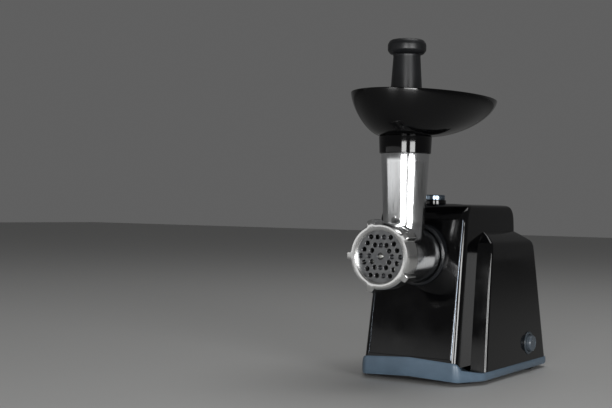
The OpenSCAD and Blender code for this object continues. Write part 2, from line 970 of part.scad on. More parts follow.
module gear_axles() {
  color("silver") {
    rod(shaft_r, box_front + 0.5, box_back - 0.5, two_x, two_z);
    rod(shaft_r, box_front + 0.5, box_back - 0.5, one_x, one_z);
  }
}

module motor_pinion() {
  color("silver")
    difference() {
      along_y(third_gear_y, third_gear_y + 5, 0, motor_z)
        gear_outline(fine_m, pinion_teeth, dir_motor + 180 + 180 / pinion_teeth);
      rod(shaft_r, third_gear_y - 1, third_gear_y + 6, 0, motor_z);
    }
}

// Screws of the gear case, in X and Z
screw_spots = [[31, head_z + 30.7], [-31, head_z + 30.7], [-35, 39.6], [33.5, 53]];

// Outline of the gear case as cylinders, grown or drawn in
module case_round(grow, y0, y1) {
  rod(40.5 + grow, y0, y1);
  rod(29.7 + grow, y0, y1, two_x, two_z);
  rod(25.7 + grow, y0, y1, one_x, one_z);
}

module gearbox_front() {
  color("#3a3f46")
    difference() {
      union() {
        case_round(1.3, box_front, box_joint);
        rod(24, socket_back, box_front + 1);
        for (p = screw_spots)
          rod(4.2, box_front, box_joint, p[0], p[1]);
      }
      case_round(0, box_front + box_wall, box_joint + 1);
      rod(13, socket_back - 1, box_front + 1.5);
      rod(10.4, -6, box_front + box_wall + 1);
      rod(shaft_r, box_front + 0.5, box_front + 4, two_x, two_z);
      rod(shaft_r, box_front + 0.5, box_front + 4, one_x, one_z);
      for (p = screw_spots)
        rod(1.5, box_front - 1, box_joint + 1, p[0], p[1]);
    }
}

module gearbox_rear() {
  color("#3a3f46")
    difference() {
      union() {
        case_round(1.3, box_joint, box_back);
        rod(10, box_joint + 4, box_back, 0, motor_z);
        for (p = screw_spots)
          rod(4.2, box_joint, box_back, p[0], p[1]);
      }
      case_round(0, box_joint - 1, box_back - box_wall);
      rod(8.2, box_joint + 5.5, box_back - box_wall, 0, motor_z);
      rod(6.05, box_back - 4, box_back + 1);
      rod(4, box_back - 4, box_back + 1, 0, motor_z);
      rod(shaft_r, box_back - 4, box_back - 0.5, two_x, two_z);
      rod(shaft_r, box_back - 4, box_back - 0.5, one_x, one_z);
      for (p = screw_spots)
        rod(1.5, box_joint - 1, box_back + 1, p[0], p[1]);
    }
}

module gearbox_screws() {
  color("silver")
    for (p = screw_spots)
      difference() {
        union() {
          rod(1.5, box_front - 10, box_back + 0.5, p[0], p[1]);
          rod(2.9, box_back, box_back + 2, p[0], p[1]);
        }
        translate([p[0], box_back + 1, p[1]])
          rotate([-90, 0, 0])
            cylinder(h = 3, r = 1.3, $fn = 6);
      }
}

// ---------------------------------------------------------------- motor

module motor_shaft() {
  color("silver")
    rod(shaft_r, third_gear_y - 1, rear_bracket_y + 6, 0, motor_z);
}

module armature() {
  color("gray")
    along_y(stack_front, stack_back, 0, motor_z)
      difference() {
        circle(r = rotor_r);
        circle(r = shaft_r);
        for (a = [0 : 30 : 330])
          rotate(a)
            translate([12.2, 0])
              circle(r = 1.7);
        for (a = [0 : 30 : 330])
          rotate(a)
            translate([14.5, 0])
              square([4, 1], center = true);
      }
}

module rotor_windings() {
  color("#b5651d")
    for (y = [stack_front - 6, stack_back])
      difference() {
        rod(13.6, y, y + (y < stack_front ? 5.9 : 5), 0, motor_z);
        rod(shaft_r + 1.5, y - 1, y + 7, 0, motor_z);
      }
  color("#b5651d")
    for (a = [0 : 30 : 330])
      rod(1.65, stack_front - 0.5, stack_back + 0.5, 12.2 * cos(a), motor_z + 12.2 * sin(a));
}

module commutator() {
  color("peru")
    along_y(commutator_y, commutator_y + 11, 0, motor_z)
      difference() {
        circle(r = 10.5);
        circle(r = shaft_r);
        for (a = [0 : 15 : 345])
          rotate(a)
            translate([10.4, 0])
              square([1.6, 0.5], center = true);
      }
}

module fan() {
  color("white")
    difference() {
      union() {
        rod(21, 39, 40.5, 0, motor_z);
        rod(6, 39, 47, 0, motor_z);
        for (a = [0 : 36 : 324])
          translate([0, 0, motor_z])
            rotate([0, a, 0])
              translate([-0.7, 40, 5])
                cube([1.4, 6.5, 15]);
      }
      rod(shaft_r, 38, 48, 0, motor_z);
    }
}

// Windows between the poles that the field coils fill
module coil_windows(gap) {
  difference() {
    circle(r = 21.3 - gap);
    circle(r = 16.6 + gap);
    square([23 + 2 * gap, 60], center = true);
  }
}

module stator() {
  color("slategray")
    along_y(stack_front, stack_back, 0, motor_z)
      difference() {
        intersection() {
          circle(r = stator_r);
          square([51, 45.8], center = true);
        }
        circle(r = 16.6);
        coil_windows(0);
      }
}

module field_coils() {
  over = 5.4;
  color("#c97b3a")
    for (turn = [0, 180])
      translate([0, 0, motor_z])
        rotate([0, turn, 0]) {
          along_y(stack_front - over, stack_back + over, 0, 0)
            intersection() {
              coil_windows(0.3);
              translate([-30, 0.4])
                square([60, 30]);
            }
          for (y = [stack_front - over, stack_back + 0.4])
            along_y(y, y + over - 0.4, 0, 0)
              intersection() {
                difference() {
                  circle(r = 21);
                  circle(r = 16.9);
                }
                translate([-30, 0.4])
                  square([60, 30]);
              }
        }
}

module motor_bracket(y0, leg0, leg1) {
  translate([-25, y0, motor_z - 8])
    cube([50, 4, 16]);
  for (s = [-1, 1])
    translate([s > 0 ? 22 : -25, leg0, motor_z - 5])
      cube([3, leg1 - leg0, 10]);
}

module motor_bracket_front() {
  color("silver")
    difference() {
      motor_bracket(32, 32, stack_front);
      rod(shaft_r + 0.05, 30, 40, 0, motor_z);
    }
}

module motor_bracket_rear() {
  color("silver")
    difference() {
      union() {
        motor_bracket(rear_bracket_y, stack_back, rear_bracket_y + 4);
        for (s = [-1, 1])
          translate([s > 0 ? 12 : -24, commutator_y + 1, motor_z - 4.5])
            cube([12, 10, 9]);
      }
      rod(shaft_r + 0.05, rear_bracket_y - 1, rear_bracket_y + 5, 0, motor_z);
      for (s = [-1, 1])
        translate([s > 0 ? 11 : -22.5, commutator_y + 3, motor_z - 2.5])
          cube([11.5, 6, 5]);
    }
}

module brushes() {
  color("#333333")
    for (s = [-1, 1])
      translate([s > 0 ? 10.9 : -22, commutator_y + 3.1, motor_z - 2.4])
        cube([11.1, 5.8, 4.8]);
}

module circuit_board() {
  color("darkgreen")
    translate([-56, 58, 11])
      cube([25, 44, 1.6]);
}

module capacitor() {
  color("gold")
    translate([-53, 66, 12.6])
      cube([18, 26, 12]);
}

pusher();
tray();
head_casting();
ring_nut();
plate();
knife();
auger();
auger_drive();
drive_pin();
main_housing();
front_fascia();
fascia_trim();
rear_shell();
base_plinth();
bottom_cover();
feet();
base_screws();
shell_screws();
socket_collar();
latch_bolt();
latch_rocker();
latch_spring();
release_button();
button_bezel();
power_button();
power_bezel();
power_switch();
cord_gland();
gearbox_front();
gearbox_rear();
gearbox_screws();
output_gear();
output_bush();
gear_two();
gear_one();
gear_axles();
motor_pinion();
motor_shaft();
armature();
rotor_windings();
commutator();
fan();
stator();
field_coils();
motor_bracket_front();
motor_bracket_rear();
brushes();
circuit_board();
capacitor();
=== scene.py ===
"""Looks of the electric meat grinder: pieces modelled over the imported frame, their finishes and the studio."""

import math

import bmesh
import bpy
from mathutils import Matrix, Vector


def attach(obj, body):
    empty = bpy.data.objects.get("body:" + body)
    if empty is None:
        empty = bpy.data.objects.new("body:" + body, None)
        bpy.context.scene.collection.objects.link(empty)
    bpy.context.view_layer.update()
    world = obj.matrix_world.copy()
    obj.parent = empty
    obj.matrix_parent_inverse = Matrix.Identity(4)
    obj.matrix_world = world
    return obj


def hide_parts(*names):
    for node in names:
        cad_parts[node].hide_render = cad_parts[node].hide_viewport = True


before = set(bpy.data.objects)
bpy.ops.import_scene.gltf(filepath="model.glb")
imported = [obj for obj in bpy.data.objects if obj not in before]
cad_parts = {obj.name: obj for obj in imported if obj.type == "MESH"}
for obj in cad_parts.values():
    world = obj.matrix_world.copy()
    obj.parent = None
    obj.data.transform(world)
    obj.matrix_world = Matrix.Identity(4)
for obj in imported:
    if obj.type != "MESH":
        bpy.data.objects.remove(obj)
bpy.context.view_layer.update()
MM = 0.001

# Sizes shared with the frame, in millimetres
HEAD_Z = 120.3
TUBE_Y = -74.4
RING_FRONT = -122.0
RING_BACK = -103.5
PLATE_FRONT = -119.0
PLATE_BACK = -114.0
FOOT_Y = -60.0
FOOT_Z = 21.5
LEAN = math.radians(9.5)
SLOPE = math.tan(LEAN)
RELEASE_Y = -11.0
POWER_Y = 81.6
POWER_Z = 29.3
BARREL_R = 26.0
SOCKET_HOLE_R = 30.05
RING_BAND_R = 30.4
GRIP_REACH = 34.3
RING_BORE_R = 28.9
LIP_R = 23.5
PLATE_R = 26.75
PLATE_HOLE_R = 2.2
TRAY_FLOOR_Z = 231.0
TRAY_RIM_Z = 271.0
TRAY_MIDDLE_Y = -32.6
TRAY_HALF_X = 59.2
TRAY_HALF_Y = 102.7
TRAY_FOOT_R = 24.0
TRAY_CURVE = 1.57
HOUSING_WALL = 2.6
COVER_WALL = 2.2
COVER_FOOT_Z = 7.2
COVER_RISE = 125.3
SMOOTH_ANGLE = math.radians(32)
HAIR = 0.002


# ------------------------------------------------------------------ modelling helpers


def rest():
    """Object mode with nothing selected."""
    if bpy.context.object and bpy.context.object.mode != "OBJECT":
        bpy.ops.object.mode_set(mode="OBJECT")
    bpy.ops.object.select_all(action="DESELECT")


def take(obj):
    """Selects one object alone and makes it the active one."""
    rest()
    obj.select_set(True)
    bpy.context.view_layer.objects.active = obj


def named(name):
    """Names the object just made."""
    obj = bpy.context.object
    obj.name = obj.data.name = name
    return obj


def edit(obj):
    """Opens one object in edit mode, picking corners."""
    take(obj)
    bpy.ops.object.mode_set(mode="EDIT")
    bpy.ops.mesh.select_mode(type="VERT")


def soften(points, radius, steps=5, closed=False):
    """Rounds the corners of an outline. A point may carry its own radius as a third value."""
    out, count = [], len(points)
    for i, p in enumerate(points):
        r = p[2] if len(p) > 2 else radius
        here = Vector(p[:2])
        if r <= 0 or (not closed and i in (0, count - 1)):
            out.append((here.x, here.y))
            continue
        before = Vector(points[i - 1][:2]) - here
        after = Vector(points[(i + 1) % count][:2]) - here
        half = before.angle(after) / 2
        if half > math.radians(89.5) or before.length < 1e-6 or after.length < 1e-6:
            out.append((here.x, here.y))
            continue
        reach = min(r / math.tan(half), before.length * 0.49, after.length * 0.49)
        r = reach * math.tan(half)
        bisector = (before.normalized() + after.normalized()).normalized()
        middle = here + bisector * (r / math.sin(half))
        start = here + before.normalized() * reach - middle
        sweep = math.pi - 2 * half
        turn = 1 if before.x * after.y - before.y * after.x < 0 else -1
        for k in range(steps + 1):
            a = turn * sweep * k / steps
            out.append((
                middle.x + start.x * math.cos(a) - start.y * math.sin(a),
                middle.y + start.x * math.sin(a) + start.y * math.cos(a),
            ))
    return out


def trace(name, points, closed):
    """A line of edges drawn by extruding one corner from point to point."""
    rest()
    bpy.ops.mesh.primitive_plane_add(size=MM, location=Vector(points[0]) * MM)
    obj = named(name)
    bpy.ops.object.mode_set(mode="EDIT")
    bpy.ops.mesh.select_mode(type="VERT")
    bpy.ops.mesh.select_all(action="SELECT")
    bpy.ops.mesh.merge(type="CENTER")
    here = Vector(points[0])
    for p in list(points[1:]) + ([points[0]] if closed else []):
        bpy.ops.mesh.extrude_region_move(TRANSFORM_OT_translate={"value": (Vector(p) - here) * MM})
        here = Vector(p)
    bpy.ops.mesh.select_all(action="SELECT")
    bpy.ops.mesh.remove_doubles(threshold=MM * HAIR)
    return obj


def settle(obj):
    """Ends edit mode, turns the faces outwards, puts the origin at zero and smooths the shading."""
    if bpy.context.mode != "EDIT_MESH":
        edit(obj)
    bpy.ops.mesh.select_all(action="SELECT")
    bpy.ops.mesh.remove_doubles(threshold=MM * HAIR)
    bpy.ops.mesh.normals_make_consistent(inside=False)
    take(obj)
    bpy.ops.object.transform_apply(location=True, rotation=True, scale=True)
    bpy.ops.object.shade_smooth_by_angle(angle=SMOOTH_ANGLE)
    return obj


AXES = {"x": Vector((1, 0, 0)), "y": Vector((0, 1, 0)), "z": Vector((0, 0, 1))}


def turned(name, profile, along, centre, steps=96, radius=0.0, closed=True):
    """A lathe-turned piece. The profile gives radius and place along the axis, from the given centre."""
    side = AXES["x"] if along != "x" else AXES["y"]
    line = [Vector(centre) + side * p[0] + AXES[along] * p[1] for p in soften(profile, radius, 4, closed)]
    obj = trace(name, line, closed)
    bpy.ops.mesh.spin(steps=steps, angle=2 * math.pi, center=Vector(centre) * MM, axis=AXES[along])
    return settle(obj)


def slab(name, outline, y0, y1, radius=0.4, plane="xz", steps=2):
    """A flat outline given a thickness and softened edges."""
    if plane == "xz":
        points = [(p[0], y0, p[1]) for p in outline]
        lift = (0, (y1 - y0) * MM, 0)
    else:
        points = [(p[0], p[1], y0) for p in outline]
        lift = (0, 0, (y1 - y0) * MM)
    obj = trace(name, points, True)
    bpy.ops.mesh.edge_face_add()
    bpy.ops.mesh.extrude_region_move(TRANSFORM_OT_translate={"value": lift})
    settle(obj)
    if radius:
        finish_with(obj, "BEVEL", width=radius * MM, segments=steps, limit_method="ANGLE",
                    angle_limit=math.radians(40))
    take(obj)
    bpy.ops.object.shade_smooth_by_angle(angle=SMOOTH_ANGLE)
    return obj


def skin(name, loops, ends=(True, True), join=False):
    """A surface drawn through closed loops of corners, each loop extruded from the one before."""
    rest()
    count = len(loops[0])
    bpy.ops.mesh.primitive_circle_add(vertices=count, radius=1)
    obj = named(name)
    bpy.ops.object.mode_set(mode="EDIT")
    bpy.ops.mesh.select_mode(type="VERT")
    bm = bmesh.from_edit_mesh(obj.data)
    bm.verts.ensure_lookup_table()
    for v, p in zip(bm.verts, loops[0]):
        v.co = Vector(p) * MM
    bmesh.update_edit_mesh(obj.data)
    if ends[0] and not join:
        bpy.ops.mesh.select_all(action="SELECT")
        bpy.ops.mesh.edge_face_add()
    for k in range(1, len(loops)):
        pick_range(obj, (k - 1) * count, k * count)
        bpy.ops.mesh.select_mode(type="EDGE")
        bpy.ops.mesh.extrude_edges_move(TRANSFORM_OT_translate={"value": (0, 0, 0)})
        bpy.ops.mesh.select_mode(type="VERT")
        bm = bmesh.from_edit_mesh(obj.data)
        bm.verts.ensure_lookup_table()
        old = {tuple(round(c, 8) for c in bm.verts[(k - 1) * count + i].co): i for i in range(count)}
        moved = {}
        for v in bm.verts[k * count:(k + 1) * count]:
            moved[v] = old[tuple(round(c, 8) for c in v.co)]
        for v, i in moved.items():
            v.co = Vector(loops[k][i]) * MM
        order = sorted(moved, key=lambda v: moved[v])
        for n, v in enumerate(order):
            v.index = k * count + n
        bm.verts.sort()
        bmesh.update_edit_mesh(obj.data)
    if ends[1] and not join:
        pick_range(obj, (len(loops) - 1) * count, len(loops) * count)
        bpy.ops.mesh.edge_face_add()
    if join:
        pick_range(obj, 0, count, (len(loops) - 1) * count, len(loops) * count)
        bpy.ops.mesh.select_mode(type="EDGE")
        bpy.ops.mesh.bridge_edge_loops()
        bpy.ops.mesh.select_mode(type="VERT")
    return settle(obj)


def pick_range(obj, *spans):
    """Selects corners by their numbers. The spans are given as pairs of first and last."""
    bm = bmesh.from_edit_mesh(obj.data)
    bm.verts.ensure_lookup_table()
    for v in bm.verts:
        v.select = False
    bm.select_flush(False)
    for a, b in zip(spans[::2], spans[1::2]):
        for v in bm.verts[a:b]:
            v.select = True
    bm.select_flush_mode()
    bm.select_flush(True)
    bmesh.update_edit_mesh(obj.data)


def finish_with(obj, kind, **settings):
    """Adds a modifier and applies it."""
    take(obj)
    m = obj.modifiers.new(kind.title(), kind)
    for key, value in settings.items():
        setattr(m, key, value)
    bpy.ops.object.modifier_apply(modifier=m.name)
    return obj


def cut(obj, tool, operation="DIFFERENCE"):
    """Cuts one piece with another, which is then thrown away."""
    finish_with(obj, "BOOLEAN", operation=operation, object=tool, solver="EXACT")
    bpy.data.objects.remove(tool, do_unlink=True)
    take(obj)
    bpy.ops.object.shade_smooth_by_angle(angle=SMOOTH_ANGLE)
    return obj


def even_shading(obj):
    """Lets the large flats keep their own direction, so that only the rounded corners turn the light."""
    return finish_with(obj, "WEIGHTED_NORMAL", keep_sharp=True, weight=90)


def drill(radius, y0, y1, x=0.0, z=HEAD_Z, along="y", sides=96):
    """A plain round tool for cutting holes."""
    rest()
    turn = {"y": (math.pi / 2, 0, 0), "x": (0, math.pi / 2, 0), "z": (0, 0, 0)}[along]
    middle = (y0 + y1) / 2
    place = {"y": (x, middle, z), "x": (middle, x, z), "z": (x, z, middle)}[along]
    bpy.ops.mesh.primitive_cylinder_add(vertices=sides, radius=radius * MM, depth=(y1 - y0) * MM,
                                        location=Vector(place) * MM, rotation=turn)
    return bpy.context.object


def block(name, low, high, radius=0.0, steps=2, tilt=None):
    """A box between two corners with rounded edges."""
    rest()
    low, high = Vector(low), Vector(high)
    bpy.ops.mesh.primitive_cube_add(size=1, location=(low + high) / 2 * MM)
    obj = named(name)
    bpy.ops.transform.resize(value=(high - low) * MM, center_override=(low + high) / 2 * MM)
    bpy.ops.object.transform_apply(location=True, rotation=True, scale=True)
    if tilt:
        obj.data.transform(tilt)
    if radius:
        finish_with(obj, "BEVEL", width=radius * MM, segments=steps, limit_method="ANGLE")
    take(obj)
    bpy.ops.object.shade_smooth_by_angle(angle=SMOOTH_ANGLE)
    return obj


def joined(*objs):
    """Joins pieces of one moulding or casting into one object."""
    take(objs[0])
    for o in objs[1:]:
        o.select_set(True)
    bpy.context.view_layer.objects.active = objs[0]
    bpy.ops.object.join()
    return bpy.context.object


def piece(obj, body, node, material):
    """Ties a finished piece to its body, the node it stands for and its material."""
    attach(obj, body)
    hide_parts(*([node] if isinstance(node, str) else node))
    obj.data.materials.clear()
    obj.data.materials.append(material)
    return obj


# ------------------------------------------------------------------ finishes


def paint(code, alpha=1.0):
    """An sRGB hex colour as linear values."""
    channels = [int(code[i:i + 2], 16) / 255 for i in (1, 3, 5)]
    return [c / 12.92 if c <= 0.04045 else ((c + 0.055) / 1.055) ** 2.4 for c in channels] + [alpha]


def add(tree, kind, settings=None, inputs=None, links=None):
    """One node with its settings, socket values and incoming links."""
    node = tree.nodes.new(kind)
    for key, value in (settings or {}).items():
        setattr(node, key, value)
    for key, value in (inputs or {}).items():
        node.inputs[key].default_value = value
    for key, source in (links or {}).items():
        tree.links.new(source, node.inputs[key])
    return node


def finish(name, colour, roughness, metallic=0.0, **sockets):
    """A surface with its plain values; patterns are linked in afterwards."""
    material = bpy.data.materials.new(name)
    material.use_nodes = True
    shader = material.node_tree.nodes["Principled BSDF"]
    shader.inputs["Base Color"].default_value = paint(colour)
    shader.inputs["Roughness"].default_value = roughness
    shader.inputs["Metallic"].default_value = metallic
    for key, value in sockets.items():
        shader.inputs[key.replace("_", " ")].default_value = value
    tree = material.node_tree
    place = add(tree, "ShaderNodeTexCoord").outputs["Object"]
    return material, tree, shader, place


def bump(tree, shader, height, strength, distance_mm):
    """Turns a pattern into relief of the given depth."""
    node = add(tree, "ShaderNodeBump", inputs={"Strength": strength, "Distance": distance_mm * MM},
               links={"Height": height})
    tree.links.new(node.outputs["Normal"], shader.inputs["Normal"])


def spread(tree, source, low, high, at_low=0.3, at_high=0.7):
    """A pattern's values spread between two numbers."""
    return add(tree, "ShaderNodeMapRange",
               inputs={"From Min": at_low, "From Max": at_high, "To Min": low, "To Max": high},
               links={"Value": source}).outputs["Result"]


def tints(tree, shader, source, first, second, at_low=0.3, at_high=0.7):
    """Colours the surface from one tint to another along a pattern."""
    ramp = add(tree, "ShaderNodeValToRGB", links={"Fac": source})
    ramp.color_ramp.elements[0].position = at_low
    ramp.color_ramp.elements[0].color = paint(first)
    ramp.color_ramp.elements[1].position = at_high
    ramp.color_ramp.elements[1].color = paint(second)
    tree.links.new(ramp.outputs["Color"], shader.inputs["Base Color"])


def noise(tree, place, scale, detail=3.0, rough=0.5, stretch=None):
    """A cloudy pattern, drawn out along an axis if a stretch is given."""
    if stretch:
        drawn_out = add(tree, "ShaderNodeMapping", inputs={"Scale": stretch}, links={"Vector": place})
        place = drawn_out.outputs["Vector"]
    return add(tree, "ShaderNodeTexNoise", inputs={"Scale": scale, "Detail": detail, "Roughness": rough},
               links={"Vector": place}).outputs["Fac"]


def moulded_gloss(name, colour, dust):
    """Piano-black ABS from a polished mould: a clear mirror with faint flow waviness and handling haze."""
    material, tree, shader, place = finish(name, colour, 0.07, IOR=1.46)
    haze = noise(tree, place, 26.0, 5.0, 0.6)
    tree.links.new(spread(tree, haze, 0.045, 0.17, 0.35, 0.8), shader.inputs["Roughness"])
    tints(tree, shader, haze, colour, dust, 0.45, 0.95)
    waviness = noise(tree, place, 60.0, 1.0)
    bump(tree, shader, waviness, 0.12, 0.05)
    return material


def moulded_satin(name, light, dark, roughness, grain_mm=0.7, depth=0.03, strength=0.35):
    """Satin ABS from a fine spark-eroded mould: a soft broad sheen with a tiny grain."""
    material, tree, shader, place = finish(name, light, roughness, IOR=1.5)
    cloud = noise(tree, place, 40.0, 4.0, 0.6)
    tints(tree, shader, cloud, dark, light, 0.3, 0.65)
    tree.links.new(spread(tree, cloud, roughness - 0.05, roughness + 0.08), shader.inputs["Roughness"])
    grain = noise(tree, place, 1.0 / (grain_mm * MM), 2.0, 0.6)
    bump(tree, shader, grain, strength, depth)
    return material


def brushed_metal(name, light, dark, roughness, stretch, scale, depth, strength=0.3):
    """Metal with lines left by a belt or a wheel, stretched along one direction."""
    material, tree, shader, place = finish(name, light, roughness, 1.0)
    lines = noise(tree, place, scale, 4.0, 0.65, stretch)
    tints(tree, shader, lines, dark, light, 0.25, 0.6)
    tree.links.new(spread(tree, lines, roughness - 0.05, roughness + 0.1), shader.inputs["Roughness"])
    bump(tree, shader, lines, strength, depth)
    return material


def cast_metal(name, light, dark, roughness, grain_mm=0.9, depth=0.05, strength=0.4):
    """Die-cast and tumbled aluminium: pearly, with a fine pebble and slightly darker hollows."""
    material, tree, shader, place = finish(name, light, roughness, 1.0)
    cloud = noise(tree, place, 70.0, 5.0, 0.62)
    tints(tree, shader, cloud, dark, light, 0.28, 0.6)
    tree.links.new(spread(tree, cloud, roughness - 0.06, roughness + 0.1), shader.inputs["Roughness"])
    pebble = noise(tree, place, 1.0 / (grain_mm * MM), 3.0, 0.6)
    bump(tree, shader, pebble, strength, depth)
    return material


def faced_metal(name, light, dark, roughness, haze=0.12, ring_depth=0.02):
    """Metal turned on a lathe face: fine rings round the middle, and faint rub marks."""
    material, tree, shader, place = finish(name, light, roughness, 1.0)
    centred = add(tree, "ShaderNodeMapping", inputs={"Location": (0, 0, -HEAD_Z * MM)}, links={"Vector": place})
    parts = add(tree, "ShaderNodeSeparateXYZ", links={"Vector": centred.outputs["Vector"]})
    flat = add(tree, "ShaderNodeCombineXYZ", links={"X": parts.outputs["X"], "Z": parts.outputs["Z"]})
    radius = add(tree, "ShaderNodeVectorMath", {"operation": "LENGTH"}, links={0: flat.outputs["Vector"]})
    rings = add(tree, "ShaderNodeTexNoise", {"noise_dimensions": "1D"},
                {"Scale": 2600.0, "Detail": 3.0, "Roughness": 0.6}, {"W": radius.outputs["Value"]})
    cloud = noise(tree, place, 120.0, 4.0, 0.6)
    tints(tree, shader, cloud, dark, light, 0.3, 0.62)
    tree.links.new(spread(tree, cloud, roughness - haze / 2, roughness + haze), shader.inputs["Roughness"])
    bump(tree, shader, rings.outputs["Fac"], 0.25, ring_depth)
    return material


def wound_copper(name):
    """Enamelled copper wire laid turn by turn: a warm gloss broken by the wires' ridges, with painted shade
    between the turns and a painted highlight on each crest.
    """
    material, tree, shader, place = finish(name, "#a4572a", 0.3, 1.0)
    wire_relief_and_painted_shading = add(tree, "ShaderNodeTexWave", {"bands_direction": "Y"},
                {"Scale": 420.0, "Distortion": 0.6, "Detail": 1.0}, {"Vector": place}).outputs["Fac"]
    # Painted shade and highlight: the colour runs dark between turns and light on each wire's crest.
    tints(tree, shader, wire_relief_and_painted_shading, "#6d3013", "#bd6c35", 0.1, 0.8)
    bump(tree, shader, wire_relief_and_painted_shading, 0.6, 0.25)
    return material


def stacked_iron(name):
    """Punched electrical steel sheets in a stack: dark blued edges in fine layers along the motor."""
    material, tree, shader, place = finish(name, "#5c6067", 0.42, 1.0)
    layers = add(tree, "ShaderNodeTexWave", {"bands_direction": "Y"},
                 {"Scale": 320.0, "Distortion": 0.1, "Detail": 0.0}, {"Vector": place}).outputs["Fac"]
    tints(tree, shader, layers, "#3a3d44", "#737780", 0.15, 0.7)
    bump(tree, shader, layers, 0.5, 0.12)
    return material


def rubber(name):
    """Moulded rubber: nearly black, matt, with a chalky bloom."""
    material, tree, shader, place = finish(name, "#161616", 0.75, IOR=1.5)
    bloom = noise(tree, place, 90.0, 4.0, 0.65)
    tints(tree, shader, bloom, "#101010", "#262626", 0.35, 0.75)
    tree.links.new(spread(tree, bloom, 0.62, 0.85), shader.inputs["Roughness"])
    bump(tree, shader, noise(tree, place, 1600.0, 2.0), 0.3, 0.04)
    return material


GLOSS_BLACK = moulded_gloss("piano_black_abs", "#050506", "#09090a")
TRAY_BLACK = moulded_gloss("tray_black_abs", "#040405", "#070708")
BLUE_GREY = moulded_satin("blue_grey_satin_abs", "#596977", "#505f6c", 0.34, 0.8, 0.03, 0.25)
PUSHER_GREY = moulded_satin("charcoal_satin_abs", "#1c1d1f", "#151617", 0.36, 0.7, 0.04, 0.35)
COLLAR_GREY = moulded_satin("socket_dark_abs", "#1b1d20", "#141517", 0.22, 0.8, 0.02, 0.2)
UNDER_BLACK = moulded_satin("underside_black_abs", "#1c1c1d", "#151516", 0.5, 1.0, 0.06, 0.5)
CASE_GREY = moulded_satin("glass_filled_nylon", "#34383d", "#272a2e", 0.55, 0.9, 0.08, 0.6)
WHITE_NYLON = moulded_satin("white_acetal", "#e2dfd6", "#d3cfc4", 0.36, 1.0, 0.02, 0.2)
GEAR_NYLON = moulded_satin("cream_nylon", "#dccfa8", "#cbbc90", 0.4, 0.9, 0.02, 0.2)
BOARD_GREEN = moulded_satin("solder_mask_green", "#1d6a3c", "#155630", 0.3, 0.6, 0.02, 0.2)
FILM_YELLOW = moulded_satin("film_capacitor_yellow", "#d9a928", "#c4951c", 0.3, 1.0, 0.02, 0.2)
CARBON = moulded_satin("pressed_carbon", "#2b2b2c", "#1d1d1e", 0.6, 0.4, 0.04, 0.5)
RING_ALUMINIUM = faced_metal("machined_ring_aluminium", "#dededd", "#d2d2d1", 0.17, 0.04, 0.008)
TUBE_ALUMINIUM = brushed_metal("polished_cast_aluminium", "#e2e3e4", "#d3d4d5", 0.13, (1.0, 1.0, 0.035), 700.0,
                               0.006, 0.15)
AUGER_ALUMINIUM = cast_metal("raw_cast_aluminium", "#c9c9c6", "#a8a8a5", 0.36, 0.8, 0.06, 0.5)
PLATE_STEEL = faced_metal("faced_plate_steel", "#8c8d8e", "#7a7b7d", 0.36)
BRIGHT_STEEL = brushed_metal("ground_steel", "#c4c5c6", "#a3a4a6", 0.27, (1.0, 0.05, 1.0), 800.0, 0.02)
# The knife's steel is painted darker than real steel, so that it shows as painted shade in the plate's holes in
# front of it.
BLADE_STEEL_PAINTED_SHADE = brushed_metal("blade_steel_painted_hole_shade", "#5c5d5f", "#48494b", 0.34, (1.0, 0.05, 1.0), 800.0, 0.02)
ZINC_STEEL = cast_metal("zinc_plated_steel", "#c3c6c8", "#a2a8ac", 0.32, 0.6, 0.02, 0.2)
TRIM_CHROME = brushed_metal("smoked_trim_chrome", "#5c6167", "#50555b", 0.1, (1.0, 1.0, 0.05), 400.0, 0.01, 0.1)
CAP_METAL = brushed_metal("anodised_button_cap", "#8b98a5", "#7a8792", 0.24, (1.0, 0.08, 1.0), 1200.0, 0.01, 0.2)
BRONZE = cast_metal("sintered_bronze", "#b98a52", "#8f6638", 0.45, 0.4, 0.04, 0.5)
COPPER = wound_copper("enamelled_copper_winding")
IRON = stacked_iron("punched_iron_stack")
RUBBER = rubber("moulded_rubber")
RIM_GREY = moulded_satin("power_rim_abs", "#3f464c", "#363d43", 0.32, 0.8, 0.02, 0.2)
BUTTON_GREY = moulded_satin("power_button_abs", "#525a61", "#484f56", 0.3, 0.8, 0.02, 0.2)

NODE_FINISH = {
    "knife": BLADE_STEEL_PAINTED_SHADE, "auger": AUGER_ALUMINIUM, "auger_drive": WHITE_NYLON, "drive_pin": BRIGHT_STEEL,
    "bottom_cover": UNDER_BLACK, "base_screws": ZINC_STEEL, "shell_screws": ZINC_STEEL,
    "latch_bolt": BRIGHT_STEEL, "latch_rocker": WHITE_NYLON, "latch_spring": BRIGHT_STEEL,
    "power_switch": UNDER_BLACK, "gearbox_front": CASE_GREY, "gearbox_rear": CASE_GREY,
    "gearbox_screws": ZINC_STEEL, "output_gear": GEAR_NYLON, "output_bush": BRONZE, "gear_two": GEAR_NYLON,
    "gear_one": GEAR_NYLON, "gear_axles": BRIGHT_STEEL, "motor_pinion": BRIGHT_STEEL,
    "motor_shaft": BRIGHT_STEEL, "armature": IRON, "rotor_windings": COPPER, "commutator": BRONZE,
    "fan": WHITE_NYLON, "stator": IRON, "field_coils": COPPER, "motor_bracket_front": ZINC_STEEL,
    "motor_bracket_rear": ZINC_STEEL, "brushes": CARBON, "circuit_board": BOARD_GREEN,
    "capacitor": FILM_YELLOW,
}
for node_name, material in NODE_FINISH.items():
    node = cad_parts[node_name]
    for slot in node.material_slots:
        slot.material = material


# ------------------------------------------------------------------ pusher and tray


